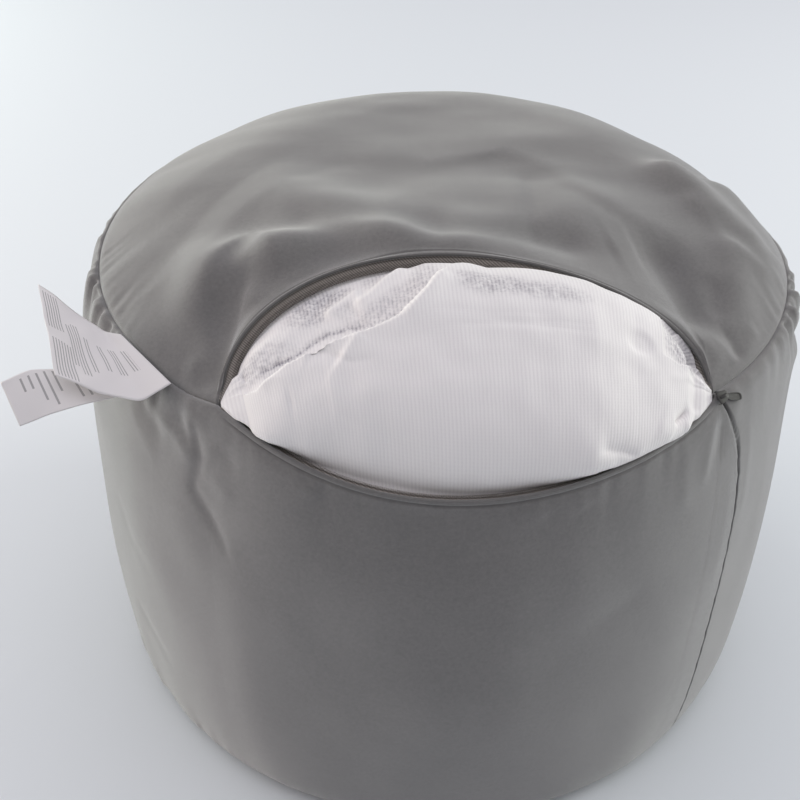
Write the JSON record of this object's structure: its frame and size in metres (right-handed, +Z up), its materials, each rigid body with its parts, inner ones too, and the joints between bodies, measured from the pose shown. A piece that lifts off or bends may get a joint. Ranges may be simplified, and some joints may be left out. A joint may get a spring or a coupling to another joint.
{
  "type": "bean bag footstool",
  "caption": "Round drum footstool in a woven cover whose open rim zip shows the bead-filled inner bag.",
  "frame": {"origin": "centre of the base panel, on the surface that the stool stands on", "axes": "+Z up, -Y towards the open zip, +X towards the end of the zip where its slider is"},
  "size_m": [0.5328, 0.5288, 0.411],
  "materials": {
    "cover_cloth": "matte woven polyester",
    "inner_net": "white warp-knit net",
    "zip_nylon": "woven tape and nylon coil",
    "zip_metal": "satin enamel",
    "label_satin": "smooth satin"
  },
  "bodies": {
    "root": {"top_panel": "cover_cloth", "side_panel": "cover_cloth", "base_panel": "cover_cloth", "inner_bag": "inner_net", "zip_tape_lower": "zip_nylon", "zip_tape_upper": "zip_nylon", "zip_slider": "zip_metal", "zip_pull": "zip_metal", "care_label": "label_satin", "size_label": "label_satin"}
  },
  "joints": []
}
